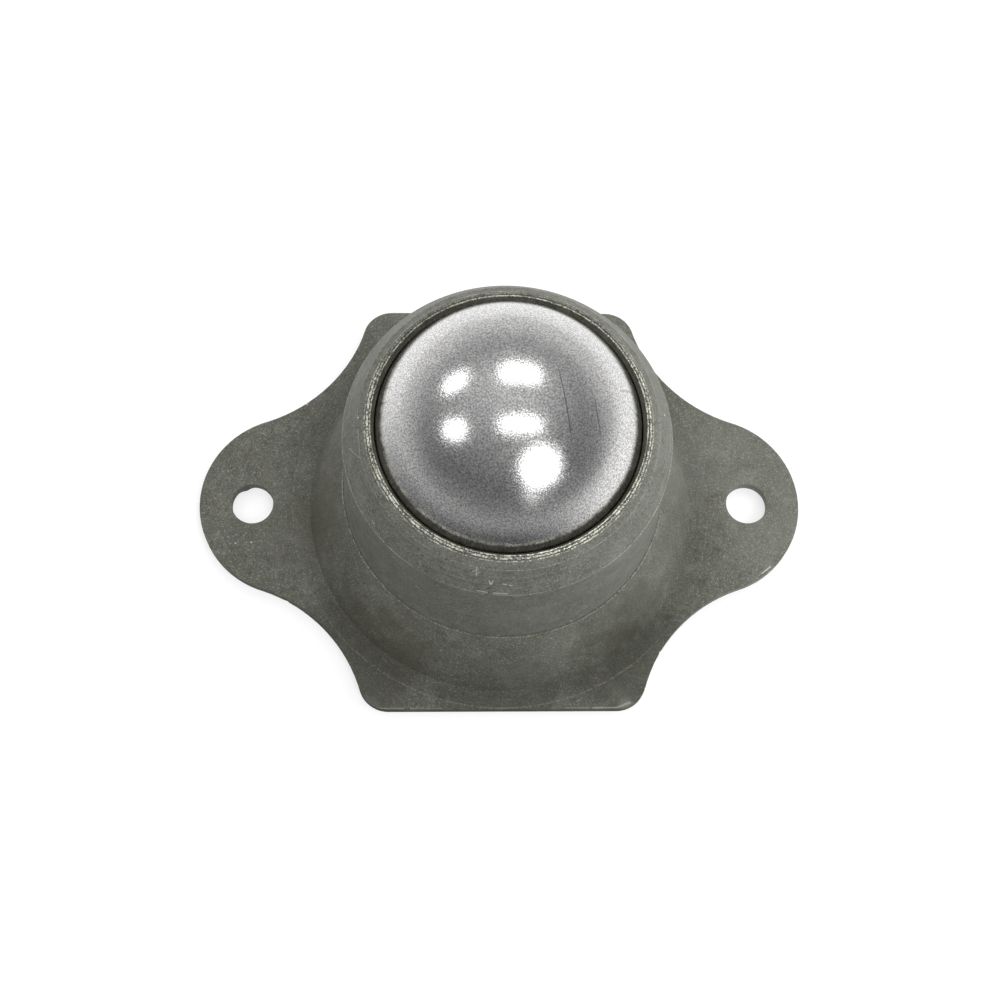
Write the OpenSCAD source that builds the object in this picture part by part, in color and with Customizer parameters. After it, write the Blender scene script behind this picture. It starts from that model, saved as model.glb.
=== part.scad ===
// Flange-mounted ball transfer unit: a large steel ball on a bed of small
// support balls, held in a pressed steel housing with a two-ear flange.
// Millimetres. The origin is the centre of the flange's underside, +Z runs
// up through the ball, and the two ears lie along X.

/* [Flange] */
// Overall length over the two ears
flange_length = 92.3; // [88:0.1:110]
// Overall width across the two straight edges
flange_width = 64.3; // [62:0.1:72]
// Thickness of the base's steel sheet
base_sheet = 1.7; // [1.2:0.1:2.2]
// End radius of each ear
ear_radius = 14.1; // [12:0.1:16]
// Length of each straight edge between its rounded corners
edge_flat = 34; // [28:0.5:38]
// Radius of the four rounded corners
corner_radius = 4.5; // [3:0.1:6]
// Radius of the four hollows between an ear and a corner
hollow_radius = 23.6; // [20:0.1:28]
// Distance between the two mounting holes
hole_spacing = 76.2; // [72:0.1:80]
// Diameter of the mounting holes
hole_diameter = 6.35; // [4:0.05:9]

/* [Foot] */
// Height of the shoulder that the cover stands on
shoulder_height = 11.9; // [9:0.1:14]
// How far the shoulder's edge stands out past the cover
shoulder_ledge = 0.28; // [0.1:0.01:0.6]
// How far the flare spreads from the shoulder down to the crease
flare_spread = 5.4; // [4:0.1:7]
// Width of the shallow ring pressed into the flange around the crease
form_width = 2.7; // [1.5:0.1:3.5]
// Depth of that ring at the crease
form_depth = 0.35; // [0.1:0.05:0.8]
// Width of the flat land on top of the neck
neck_land = 0.4; // [0.2:0.05:0.8]

/* [Cover] */
// Thickness of the cover's steel sheet
cover_sheet = 1.1; // [0.8:0.05:1.3]
// How much wider in radius the wall is at its foot than at its top
wall_draft = 0.7; // [0.3:0.05:1]
// Width of the sloped brow between wall and crown
brow_width = 2.25; // [1.8:0.05:2.8]
// Drop of the brow over that width
brow_drop = 4.2; // [3.6:0.1:5]
// Width of the crown between brow and lip
crown_width = 1.4; // [1:0.05:1.8]
// Drop of the crown over that width
crown_drop = 1.05; // [0.7:0.05:1.3]
// Width from each lip's crest to the seam between cover and keeper ring
crest_width = 0.18; // [0.1:0.01:0.3]
// Drop from each crest to the seam
crest_drop = 0.12; // [0.05:0.01:0.3]

/* [Keeper ring] */
// Thickness of the keeper ring's sheet
keeper_sheet = 0.6; // [0.4:0.05:0.7]
// Width of the keeper ring's rim around the ball
rim_width = 0.52; // [0.4:0.02:0.7]
// Height of that rim above its lower inside corner
rim_rise = 1.11; // [0.9:0.01:1.4]
// How much smaller in radius the mouth is than the ball
mouth_hold = 0.55; // [0.3:0.05:0.8]
// Gap between the rim's lower inside corner and the ball
mouth_gap = 0.22; // [0.1:0.01:0.4]

/* [Balls] */
// Diameter of the load ball
ball_diameter = 38.1; // [37.8:0.1:46]
// Diameter of the support balls
support_diameter = 3.969; // [3.2:0.001:4]
// Clearance between neighbouring support balls
ball_spacing_gap = 0.04; // [0.02:0.01:0.06]

/* [Race cup] */
// Wall thickness of the race cup
race_wall = 1.6; // [1:0.1:2]
// Width of the flat land on the cup's rim
race_land = 0.85; // [0.6:0.05:1]
// Height of the cup's lowest point above the mounting face
cup_clearance = 5.13; // [3:0.1:8]

/* [Fits] */
// Clearance between nested pressed pieces
nest_gap = 0.05; // [0.02:0.01:0.1]
// Running clearance above and below each support ball
running_gap = 0.05; // [0.02:0.01:0.08]

/* [Hidden] */
$fn = 128;
// Segments in a rounded corner of a pressed sheet
corner_steps = 5;
// Spare length that a cutting shape runs past what it cuts
cut_margin = 1;

// Balls and race
ball_radius = ball_diameter / 2;
bed_radius = ball_radius + running_gap + support_diameter / 2;
pocket_radius = bed_radius + support_diameter / 2 + running_gap;
race_radius = pocket_radius + race_wall;
seat_radius = race_radius + nest_gap;
ball_height = cup_clearance + race_radius;
row_pitch = 2 * asin((support_diameter + 2 * ball_spacing_gap) / 2 / bed_radius);

// Lip, crown, brow and wall, from the ball outwards
mouth_radius = ball_radius - mouth_hold;
mouth_height = ball_height + sqrt(pow(ball_radius + mouth_gap, 2) - pow(mouth_radius, 2));
lip_height = mouth_height + rim_rise;
seam_radius = mouth_radius + rim_width;
opening_radius = seam_radius + nest_gap;
lip_radius = opening_radius + crest_width;
brow_radius = lip_radius + crown_width;
brow_height = lip_height - crown_drop;
wall_top_radius = brow_radius + brow_width;
wall_top_height = brow_height - brow_drop;
wall_foot_radius = wall_top_radius + wall_draft;
wall_slope = wall_draft / (wall_top_height - shoulder_height);

// Outside path of the cover, from its foot up to the lip
wall_foot = [wall_foot_radius, shoulder_height];
wall_top = [wall_top_radius, wall_top_height];
brow_edge = [brow_radius, brow_height];
lip_crest = [lip_radius, lip_height];

// Neck and shoulder of the base, inside and under the cover
nest_depth = cover_sheet + nest_gap;
neck_guess = land_height(seat_radius, inside_wall(shoulder_height, nest_depth) - neck_land);
neck_top = land_height(seat_radius, inside_wall(neck_guess, nest_depth) - neck_land);
shoulder_radius = wall_foot_radius + shoulder_ledge;
crease_radius = shoulder_radius + flare_spread;
form_radius = crease_radius + form_width;

// Rim of the race cup, and the cup's outside above the neck
rim_guess = land_height(pocket_radius, inside_wall(neck_top, nest_depth) - race_land);
race_rim = land_height(pocket_radius, inside_wall(rim_guess, nest_depth) - race_land);
cup_radius = inside_wall(race_rim, nest_depth);

// Rounding of the pressed edges
shoulder_round = 0.25;
wall_round = 0.45;
brow_round = 0.6;
foot_round = 0.15;
bend_round = 0.8;
// Bite of each hollow into its ear and corner, so that the arcs truly cross
hollow_bite = 0.01;
// Height and angle of the eased edge inside the foot
foot_ease = 0.6;
foot_ease_angle = 30;

// Unit vector along v
function unit(v) = v / norm(v);

// Normal on the left of the step from a to b, which is a path's inside
function left_of(a, b) = let (d = unit(b - a)) [-d[1], d[0]];

// Corner b of a path, with both its sides moved in by one depth
function inset(a, b, c, depth) =
    let (m = left_of(a, b), n = left_of(b, c))
    b + depth * (m + n) / (1 + m * n);

// Where the line from a to b, moved in by a depth, crosses a height
function inset_at_height(a, b, depth, height) =
    let (p = a + depth * left_of(a, b), d = b - a)
    [p[0] + d[0] * (height - p[1]) / d[1], height];

// Where the line from a to b, moved in by a depth, crosses a radius
function inset_at_radius(a, b, depth, radius) =
    let (p = a + depth * left_of(a, b), d = b - a)
    [radius, p[1] + d[1] * (radius - p[0]) / d[0]];

// Radius of the cover's wall at a height, moved in by a depth
function inside_wall(height, depth) =
    wall_foot_radius - (height - shoulder_height) * wall_slope - depth * norm([1, wall_slope]);

// Height at which a sphere round the ball's centre has a radius, below the centre
function land_height(sphere_radius, radius) =
    ball_height - sqrt(pow(sphere_radius, 2) - pow(radius, 2));

// Arc that rounds corner b between a and c, shortened where the sides are short
function round_corner(a, b, c, radius) =
    let (
        u = unit(a - b),
        v = unit(c - b),
        half = acos(u * v) / 2,
        reach = min(radius / tan(half), 0.45 * norm(a - b), 0.45 * norm(c - b)),
        r = reach * tan(half),
        centre = b + unit(u + v) * r / sin(half),
        first = b + u * reach - centre,
        last = b + v * reach - centre,
        start = atan2(first[1], first[0]),
        sweep = atan2(cross(first, last), first * last)
    )
    [for (i = [0:corner_steps]) let (t = start + sweep * i / corner_steps) centre + r * [cos(t), sin(t)]];

// One closed outline of a turned section, with the corner b rounded where the
// third value is over zero. Each item is [point, rounding]
function section(items) =
    let (n = len(items))
    [for (i = [0:n - 1])
        each items[i][1] > 0
            ? round_corner(items[(i + n - 1) % n][0], items[i][0], items[(i + 1) % n][0], items[i][1])
            : [items[i][0]]];

// Solid turned from a section of [radius, height] points
module turned(items) {
    rotate_extrude() polygon(section(items));
}

// Sphere round the load ball's centre
module ball_sphere(radius) {
    translate([0, 0, ball_height]) sphere(r = radius);
}

// One quarter of the flange's outline, with its ear on +X and its edge on +Y
module flange_quarter() {
    ear = [flange_length / 2 - ear_radius, 0];
    corner = [edge_flat / 2, flange_width / 2 - corner_radius];
    // The hollow's centre is tangent to both the ear and the corner
    ear_reach = ear_radius + hollow_radius;
    corner_reach = corner_radius + hollow_radius;
    span = norm(corner - ear);
    along = (pow(ear_reach, 2) - pow(corner_reach, 2) + pow(span, 2)) / 2 / span;
    aside = sqrt(pow(ear_reach, 2) - pow(along, 2));
    d = unit(corner - ear);
    hollow = ear + along * d + aside * [d[1], -d[0]];
    difference() {
        union() {
            polygon([
                [0, 0],
                ear,
                ear + ear_radius * unit(hollow - ear),
                corner + corner_radius * unit(hollow - corner),
                corner,
                corner + [0, corner_radius],
                [0, flange_width / 2]
            ]);
            translate(ear) circle(r = ear_radius);
            translate(corner) circle(r = corner_radius);
        }
        translate(hollow) circle(r = hollow_radius + hollow_bite);
    }
}

// Flat flange with the shallow ring pressed into its top
module flange_plate() {
    difference() {
        linear_extrude(base_sheet)
            for (x = [0, 1], y = [0, 1])
                mirror([x, 0]) mirror([0, y]) flange_quarter();
        turned([
            [[0, base_sheet - form_depth], 0],
            [[crease_radius, base_sheet - form_depth], 0],
            [[form_radius, base_sheet], 0],
            [[form_radius, base_sheet + cut_margin], 0],
            [[0, base_sheet + cut_margin], 0]
        ]);
    }
}

// Pressed base: flange, flared foot, shoulder and the neck that seats the cup
module base_flange() {
    crease = [crease_radius, base_sheet - form_depth];
    shoulder = [shoulder_radius, shoulder_height];
    neck_foot = [inside_wall(shoulder_height, nest_depth), shoulder_height];
    neck_end = [inside_wall(neck_top, nest_depth), neck_top];
    flare_foot = inset_at_height(crease, shoulder, 0, 0);
    eased = inset_at_height(crease, shoulder, base_sheet, foot_ease);
    ease_run = (foot_ease + cut_margin) / tan(foot_ease_angle);
    neck_mouth = inset_at_height(neck_foot, neck_end, base_sheet, neck_top + cut_margin);
    color([0.36, 0.37, 0.33])
    difference() {
        union() {
            flange_plate();
            turned([
                [[0, 0], 0],
                [flare_foot, 0],
                [crease, 0],
                [shoulder, shoulder_round],
                [neck_foot, 0],
                [neck_end, 0],
                [[0, neck_top], 0]
            ]);
        }
        turned([
            [[0, -cut_margin], 0],
            [[eased[0] + ease_run, -cut_margin], 0],
            [eased, 0],
            [inset(crease, shoulder, neck_foot, base_sheet), bend_round],
            [inset(shoulder, neck_foot, neck_end, base_sheet), bend_round],
            [neck_mouth, 0],
            [[0, neck_top + cut_margin], 0]
        ]);
        ball_sphere(seat_radius);
        for (side = [-1, 1])
            translate([side * hole_spacing / 2, 0, -cut_margin])
                cylinder(d = hole_diameter, h = base_sheet + 2 * cut_margin);
    }
}

// Drawn cover: wall, sloped brow and crown, ending in the turned-in lip
module cover() {
    color([0.37, 0.38, 0.34])
    turned([
        [wall_foot, foot_round],
        [wall_top, wall_round],
        [brow_edge, brow_round],
        [lip_crest, 0],
        [[opening_radius, lip_height - crest_drop], 0],
        [inset_at_radius(brow_edge, lip_crest, cover_sheet, opening_radius), 0],
        [inset(wall_top, brow_edge, lip_crest, cover_sheet), 0],
        [inset(wall_foot, wall_top, brow_edge, cover_sheet), 0],
        [[inside_wall(shoulder_height, cover_sheet), shoulder_height], 0]
    ]);
}

// Keeper ring nested in the cover: a sleeve down to the cup's rim, a cone
// under the brow, and the rim that stands round the ball
module keeper_ring() {
    inner_depth = nest_depth + keeper_sheet;
    color([0.55, 0.55, 0.5])
    turned([
        [[cup_radius, race_rim], 0],
        [inset(wall_foot, wall_top, brow_edge, nest_depth), 0],
        [inset(wall_top, brow_edge, lip_crest, nest_depth), 0],
        [inset_at_radius(brow_edge, lip_crest, nest_depth, seam_radius), 0],
        [[seam_radius, lip_height - crest_drop], 0],
        [[seam_radius - crest_width, lip_height], 0],
        [[mouth_radius, mouth_height + crest_width], 0],
        [[mouth_radius, mouth_height], 0],
        [inset(wall_top, brow_edge, lip_crest, inner_depth), 0],
        [inset(wall_foot, wall_top, brow_edge, inner_depth), 0],
        [[inside_wall(race_rim, inner_depth), race_rim], 0]
    ]);
}

// Hardened cup whose round pocket carries the support balls
module race_cup() {
    color([0.62, 0.62, 0.64])
    difference() {
        intersection() {
            ball_sphere(race_radius);
            cylinder(r = cup_radius, h = race_rim);
        }
        ball_sphere(pocket_radius);
    }
}

// Load ball that carries the goods
module load_ball() {
    color([0.78, 0.78, 0.8]) ball_sphere(ball_radius);
}

// One ring of support balls. Row 0 is the single ball under the centre
module support_row(row) {
    ring_radius = bed_radius * sin(row * row_pitch);
    ring_height = ball_height - bed_radius * cos(row * row_pitch);
    count = row == 0 ? 1 : floor(180 / asin((support_diameter + ball_spacing_gap) / 2 / ring_radius));
    color([0.72, 0.72, 0.75])
    for (i = [0:count - 1])
        rotate([0, 0, (i + (row % 2) / 2) * 360 / count])
            translate([ring_radius, 0, ring_height])
                sphere(d = support_diameter, $fn = 32);
}

base_flange();
cover();
keeper_ring();
race_cup();
load_ball();
support_row(0);  // support_ball_centre
support_row(1);  // support_balls_row_1
support_row(2);  // support_balls_row_2
support_row(3);  // support_balls_row_3
support_row(4);  // support_balls_row_4
support_row(5);  // support_balls_row_5
support_row(6);  // support_balls_row_6
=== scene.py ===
import math

import bmesh
import bpy
from mathutils import Matrix, Vector


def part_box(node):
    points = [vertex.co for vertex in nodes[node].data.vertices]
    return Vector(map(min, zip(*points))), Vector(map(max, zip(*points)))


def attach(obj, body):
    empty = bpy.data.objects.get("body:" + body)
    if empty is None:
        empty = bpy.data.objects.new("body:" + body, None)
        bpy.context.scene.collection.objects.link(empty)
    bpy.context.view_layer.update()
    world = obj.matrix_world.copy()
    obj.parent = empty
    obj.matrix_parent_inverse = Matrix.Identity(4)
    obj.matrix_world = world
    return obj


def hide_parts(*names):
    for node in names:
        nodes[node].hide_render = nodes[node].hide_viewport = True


MM = 0.001

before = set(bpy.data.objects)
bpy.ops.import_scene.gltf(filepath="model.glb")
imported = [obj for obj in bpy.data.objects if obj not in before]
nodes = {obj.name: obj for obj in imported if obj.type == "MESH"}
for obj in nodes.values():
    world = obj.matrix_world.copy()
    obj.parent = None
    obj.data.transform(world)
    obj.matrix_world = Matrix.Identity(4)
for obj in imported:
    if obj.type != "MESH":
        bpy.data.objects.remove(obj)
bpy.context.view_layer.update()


# ---------------------------------------------------------------- node helpers

FLOAT, COLOR, VECTOR = "NodeSocketFloat", "NodeSocketColor", "NodeSocketVector"
GEOMETRY, MATERIAL, WHOLE = "NodeSocketGeometry", "NodeSocketMaterial", "NodeSocketInt"
WHITE = (1.0, 1.0, 1.0, 1.0)


class Net:
    """A node tree being wired: makes nodes, sets or links their inputs."""

    def __init__(self, tree):
        self.tree = tree

    def node(self, kind, inputs=None, **settings):
        made = self.tree.nodes.new(kind)
        for name, value in settings.items():
            setattr(made, name, value)
        for name, value in (inputs or {}).items():
            self.put(made.inputs[name], value)
        return made

    def put(self, socket, value):
        if isinstance(value, bpy.types.NodeSocket):
            self.tree.links.new(value, socket)
        else:
            socket.default_value = value

    def math(self, operation, a, b=0.0, c=0.0, clamp=False):
        made = self.node("ShaderNodeMath", operation=operation, use_clamp=clamp)
        for i, value in enumerate((a, b, c)):
            self.put(made.inputs[i], value)
        return made.outputs[0]

    def times(self, a, b):
        return self.math("MULTIPLY", a, b)

    def vector(self, operation, a, b=None, scale=None):
        made = self.node("ShaderNodeVectorMath", operation=operation)
        self.put(made.inputs[0], a)
        if b is not None:
            self.put(made.inputs[1], b)
        if scale is not None:
            self.put(made.inputs["Scale"], scale)
        gives_number = operation in ("LENGTH", "DOT_PRODUCT", "DISTANCE")
        return made.outputs["Value" if gives_number else "Vector"]

    def parts(self, vector):
        return self.node("ShaderNodeSeparateXYZ", {"Vector": vector}).outputs

    def joined(self, **parts):
        return self.node("ShaderNodeCombineXYZ", parts).outputs[0]

    def noise(self, at, scale, detail=2.0, rough=0.5):
        return self.node("ShaderNodeTexNoise", {
            "Vector": at, "Scale": scale, "Detail": detail, "Roughness": rough}).outputs["Fac"]

    def fade(self, value, low, high, to_low=0.0, to_high=1.0):
        """value from low to high, smoothly changed to a value from to_low to to_high."""
        return self.node("ShaderNodeMapRange", {
            "Value": value, "From Min": low, "From Max": high, "To Min": to_low, "To Max": to_high},
            interpolation_type="SMOOTHSTEP").outputs["Result"]

    def blend(self, share, a, b):
        made = self.node("ShaderNodeMix", data_type="RGBA")
        for i, value in ((0, share), (6, a), (7, b)):
            self.put(made.inputs[i], value)
        return made.outputs[2]

    def mix(self, share, a, b):
        made = self.node("ShaderNodeMix", data_type="FLOAT")
        for i, value in ((0, share), (2, a), (3, b)):
            self.put(made.inputs[i], value)
        return made.outputs[0]


def new_group(name, inputs, outputs, kind="ShaderNodeTree"):
    """An empty node group with named sockets: (name, socket kind, starting value)."""
    tree = bpy.data.node_groups.new(name, kind)
    for label, socket_kind, start in inputs:
        made = tree.interface.new_socket(label, in_out="INPUT", socket_type=socket_kind)
        if start is not None:
            made.default_value = start
    for label, socket_kind in outputs:
        tree.interface.new_socket(label, in_out="OUTPUT", socket_type=socket_kind)
    net = Net(tree)
    return tree, net, net.node("NodeGroupInput").outputs, net.node("NodeGroupOutput").inputs


def use(net, tree, inputs):
    """Puts a node group into a material and returns its outputs."""
    made = net.node("ShaderNodeGroup", node_tree=tree)
    for name, value in inputs.items():
        net.put(made.inputs[name], value)
    return made.outputs


def metres(point):
    return [v * MM for v in point]


def linear(r, g, b):
    """A colour given as 0-255 screen values."""
    def one(c):
        return c / 255 / 12.92 if c <= 10.3 else ((c / 255 + 0.055) / 1.055) ** 2.4
    return one(r), one(g), one(b), 1.0


def link(made):
    bpy.context.scene.collection.objects.link(made)
    return made


# ---------------------------------------------------------------- camera

CAMERA_PLACE = Vector((-9.437, -85.924, 256.973))
CAMERA_RIGHT = Vector((0.99939974, -0.01065224, 0.03296506))
CAMERA_UP = Vector((-0.000494428, 0.947071049, 0.321023649))
CAMERA_SENSOR, CAMERA_LENS = 36.0, 62.94


def make_camera():
    data = bpy.data.cameras.new("camera")
    data.sensor_width, data.lens = CAMERA_SENSOR, CAMERA_LENS
    data.clip_start, data.clip_end = 0.01, 50.0
    camera = link(bpy.data.objects.new("camera", data))
    back = CAMERA_RIGHT.cross(CAMERA_UP)
    turned = Matrix((CAMERA_RIGHT, CAMERA_UP, back)).transposed().to_4x4()
    camera.matrix_world = Matrix.Translation(CAMERA_PLACE * MM) @ turned
    bpy.context.scene.camera = camera


# ---------------------------------------------------------------- lamps, room and floor

LAMP_HEIGHT = 1.0
BALL_CENTRE = Vector((0, 0, 29.849)) * MM

CEILING_LAMPS = [
    # name, x and y of the middle on the ceiling, length, width, radiance
    ("ceiling_lamp_far_left", -1.09, 0.82, 0.58, 0.32, 4.8),
    ("ceiling_lamp_far", 0.18, 0.72, 0.58, 0.34, 3.8),
    ("ceiling_lamp_near_left", -1.07, -0.19, 0.54, 0.29, 4.6),
    ("ceiling_lamp_near", 0.17, -0.16, 0.58, 0.14, 4.8),
]
ROUND_LAMPS = [
    # name, way from the ball, length, width, radiance
    ("round_lamp", (0.415, -0.635, 0.655), 0.51, 0.52, 4.4),
    ("round_lamp_tail", (0.29, -0.87, 0.39), 0.20, 0.34, 0.9),
]
SOFT_LAMPS = [
    # name, place from the ball, size, radiance: they light the coat and aren't mirrored in the steel
    ("soft_lamp_right", (0.42, -0.06, 0.19), 0.3, 3.9),
    ("soft_lamp_back", (0.0, 0.95, 0.35), 0.8, 2.2),
    ("soft_lamp_back_right", (0.7, 0.65, 0.45), 0.8, 1.7),
    ("soft_lamp_left", (-0.95, 0.0, 0.4), 0.8, 0.9),
    ("soft_lamp_front", (0.35, -0.9, 0.10), 0.6, 0.9),
]
ROOM_TONES = [
    # place from straight down (0) over the horizon (0.5) to straight up (1), tone
    (0.0, 0.9), (0.44, 0.68), (0.50, 0.60), (0.56, 0.50),
    (0.64, 0.35), (0.74, 0.305), (0.88, 0.45), (1.0, 0.66),
]
ROOM_NEAR_SIDE, ROOM_FAR_SIDE = 0.56, 1.31
FLOOR_CORNERS = [(-4, -4, 0), (4, -4, 0), (4, 4, 0), (-4, 4, 0)]
FLOOR_BOUNCE, FLOOR_SHADE = (0.8, 0.8, 0.8, 1.0), (0.42, 0.42, 0.42, 1.0)


def area_lamp(name, place, aim, length, width, radiance, shape="RECTANGLE"):
    data = bpy.data.lights.new(name, "AREA")
    data.shape, data.size, data.size_y = shape, length, width
    area = length * width * (math.pi / 4 if shape == "ELLIPSE" else 1)
    data.energy = radiance * math.pi * area
    lamp = link(bpy.data.objects.new(name, data))
    facing = (place - aim).to_track_quat("Z", "Y").to_matrix().to_4x4()
    lamp.matrix_world = Matrix.Translation(place) @ facing
    return lamp


def make_lamps():
    for name, x, y, length, width, radiance in CEILING_LAMPS:
        place = BALL_CENTRE + Vector((x, y, LAMP_HEIGHT))
        area_lamp(name, place, place - Vector((0, 0, 1)), length, width, radiance)
    for name, way, length, width, radiance in ROUND_LAMPS:
        place = BALL_CENTRE + Vector(way).normalized()
        area_lamp(name, place, BALL_CENTRE, length, width, radiance, "ELLIPSE")
    for name, way, size, radiance in SOFT_LAMPS:
        place = BALL_CENTRE + Vector(way)
        area_lamp(name, place, BALL_CENTRE, size, size, radiance).visible_glossy = False


def make_room():
    """A grey room, paler at its foot and on the far side. The camera sees it as plain white."""
    world = bpy.data.worlds.new("room")
    bpy.context.scene.world = world
    world.use_nodes = True
    world.node_tree.nodes.clear()
    net = Net(world.node_tree)
    way = net.parts(net.node("ShaderNodeTexCoord").outputs["Generated"])
    ramp = net.node("ShaderNodeValToRGB", {"Fac": net.math("MULTIPLY_ADD", way["Z"], 0.5, 0.5)})
    band = ramp.color_ramp
    while len(band.elements) < len(ROOM_TONES):
        band.elements.new(0.5)
    for element, (place, tone) in zip(band.elements, ROOM_TONES):
        element.position, element.color = place, (tone, tone, tone, 1.0)
    behind = net.fade(way["Y"], -0.6, 1.0, ROOM_NEAR_SIDE, ROOM_FAR_SIDE)
    tone = net.vector("SCALE", ramp.outputs["Color"], scale=behind)
    seen = net.node("ShaderNodeLightPath").outputs["Is Camera Ray"]
    back = net.node("ShaderNodeBackground", {"Color": net.blend(seen, tone, WHITE), "Strength": 1.0})
    net.node("ShaderNodeOutputWorld", {"Surface": back.outputs[0]})


def mirrored_floor(net):
    """How far a spot is from the middle, and how bright it is in the steel: dim on the camera's side."""
    spot = net.parts(net.node("ShaderNodeTexCoord").outputs["Object"])
    reach = net.vector("LENGTH", net.joined(X=spot["X"], Y=spot["Y"]))
    length = net.math("ADD", reach, 0.001)
    side = net.math("DIVIDE", net.math("MULTIPLY_ADD", spot["X"], 0.50, spot["Y"]), length)
    across = net.math("DIVIDE", spot["X"], length)
    middle = net.fade(reach, 0.05, 0.28, 0.09, 0.35)
    near = net.math("MULTIPLY_ADD", net.times(across, across), 0.15, middle)
    far = net.fade(reach, 0.06, 0.50, 1.12, 0.66)
    return reach, net.mix(net.fade(side, -0.95, 0.30), near, far)


def make_floor():
    """A white floor that keeps the object's shadow; the steel mirrors it as a pale pool."""
    mesh = bpy.data.meshes.new("floor")
    mesh.from_pydata(FLOOR_CORNERS, [], [(0, 1, 2, 3)])
    floor = link(bpy.data.objects.new("floor", mesh))
    paint = bpy.data.materials.new("white_floor")
    paint.use_nodes = True
    paint.node_tree.nodes.clear()
    net = Net(paint.node_tree)
    path = net.node("ShaderNodeLightPath").outputs
    reach, mirrored = mirrored_floor(net)
    bounce = net.node("ShaderNodeBsdfDiffuse", {"Color": FLOOR_BOUNCE}).outputs[0]
    shade = net.node("ShaderNodeBsdfDiffuse", {"Color": FLOOR_SHADE}).outputs[0]
    glow = net.fade(reach, 0.15, 0.7, 0.62, 1.0)
    white = net.node("ShaderNodeEmission", {"Color": WHITE, "Strength": glow}).outputs[0]
    pool = net.node("ShaderNodeEmission", {"Color": WHITE, "Strength": mirrored}).outputs[0]
    both = net.node("ShaderNodeAddShader")
    net.put(both.inputs[0], shade)
    net.put(both.inputs[1], white)
    pick = net.node("ShaderNodeMixShader", {"Fac": path["Is Camera Ray"]})
    net.put(pick.inputs[1], bounce)
    net.put(pick.inputs[2], both.outputs[0])
    glossy = net.math("MAXIMUM", path["Is Glossy Ray"], path["Is Transmission Ray"])
    last = net.node("ShaderNodeMixShader", {"Fac": glossy})
    net.put(last.inputs[1], pick.outputs[0])
    net.put(last.inputs[2], pool)
    net.node("ShaderNodeOutputMaterial", {"Surface": last.outputs[0]})
    mesh.materials.append(paint)


# ---------------------------------------------------------------- shared finish groups

def build_ring_mark():
    """Wear, or a dark band (mostly painted shade), that runs round a turned ring at one radius and
    height, all in metres.
    """
    tree, net, given, out = new_group("ring_mark", [
        ("Position", VECTOR, None), ("Radius", FLOAT, 0.02), ("Height", FLOAT, 0.03),
        ("Width", FLOAT, 0.0002), ("Softness", FLOAT, 0.0002), ("Wobble", FLOAT, 0.00003),
        ("Break", FLOAT, 0.5), ("Grain", FLOAT, 3900.0), ("Patchy", FLOAT, 0.28)], [("Mask", FLOAT)])
    at = given["Position"]
    spot = net.parts(at)
    radius = net.vector("LENGTH", net.joined(X=spot["X"], Y=spot["Y"]))
    slow, quick = net.noise(at, 160.0, 3.0, 0.6), net.noise(at, 1500.0, 2.0, 0.6)
    sway = net.math("SUBTRACT", net.math("MULTIPLY_ADD", quick, 0.9, slow), 0.95)
    off_r = net.math("MULTIPLY_ADD", sway, given["Wobble"], net.math("SUBTRACT", radius, given["Radius"]))
    off_z = net.math("SUBTRACT", spot["Z"], given["Height"])
    away = net.math("SQRT", net.math("ADD", net.times(off_r, off_r), net.times(off_z, off_z)))
    edge = net.math("ADD", given["Width"], given["Softness"])
    band = net.fade(away, given["Width"], edge, 1.0, 0.0)
    fleck = net.noise(at, given["Grain"], 2.0, 0.7)
    stretch = net.noise(at, 330.0, 2.0, 0.6)
    sparse = net.math("MULTIPLY_ADD", net.math("SUBTRACT", stretch, 0.5), given["Patchy"], fleck)
    kept = net.mix(given["Break"], 1.0, net.fade(sparse, 0.45, 0.56))
    net.put(out["Mask"], net.times(band, kept))
    return tree


def build_line_mark():
    """A scratch or nick from one point to another, in metres."""
    tree, net, given, out = new_group("line_mark", [
        ("Position", VECTOR, None), ("From", VECTOR, (0, 0, 0)), ("To", VECTOR, (0.001, 0, 0)),
        ("Width", FLOAT, 0.00015), ("Break", FLOAT, 0.5)], [("Mask", FLOAT)])
    along = net.vector("SUBTRACT", given["To"], given["From"])
    reach = net.vector("SUBTRACT", given["Position"], given["From"])
    share = net.math("DIVIDE", net.vector("DOT_PRODUCT", reach, along),
                     net.vector("DOT_PRODUCT", along, along), clamp=True)
    away = net.vector("DISTANCE", reach, net.vector("SCALE", along, scale=share))
    rough = net.noise(given["Position"], 5200.0, 2.0, 0.7)
    uneven = net.math("MULTIPLY_ADD", net.math("SUBTRACT", rough, 0.5), 0.00022, away)
    band = net.fade(uneven, net.times(given["Width"], 0.4), given["Width"], 1.0, 0.0)
    kept = net.mix(given["Break"], 1.0, net.fade(rough, 0.38, 0.55))
    net.put(out["Mask"], net.times(band, kept))
    return tree


def build_turning_lines():
    """Fine rings left by spinning: light and dark by radius and height, slightly broken round."""
    tree, net, given, out = new_group("turning_lines", [
        ("Position", VECTOR, None), ("Spacing", FLOAT, 4200.0), ("From height", FLOAT, 0.030)],
        [("Light", FLOAT), ("Dark", FLOAT)])
    spot = net.parts(given["Position"])
    radius = net.vector("LENGTH", net.joined(X=spot["X"], Y=spot["Y"]))
    drift = net.vector("SCALE", given["Position"], scale=0.012)
    lathe = net.vector("ADD", net.joined(X=radius, Y=spot["Z"]), drift)
    line = net.noise(lathe, given["Spacing"], 2.0, 0.6)
    full = net.math("ADD", given["From height"], 0.0025)
    share = net.fade(spot["Z"], given["From height"], full, 0.25, 1.0)
    net.put(out["Light"], net.times(net.fade(line, 0.56, 0.70), share))
    net.put(out["Dark"], net.times(net.fade(line, 0.44, 0.30), share))
    return tree


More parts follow.
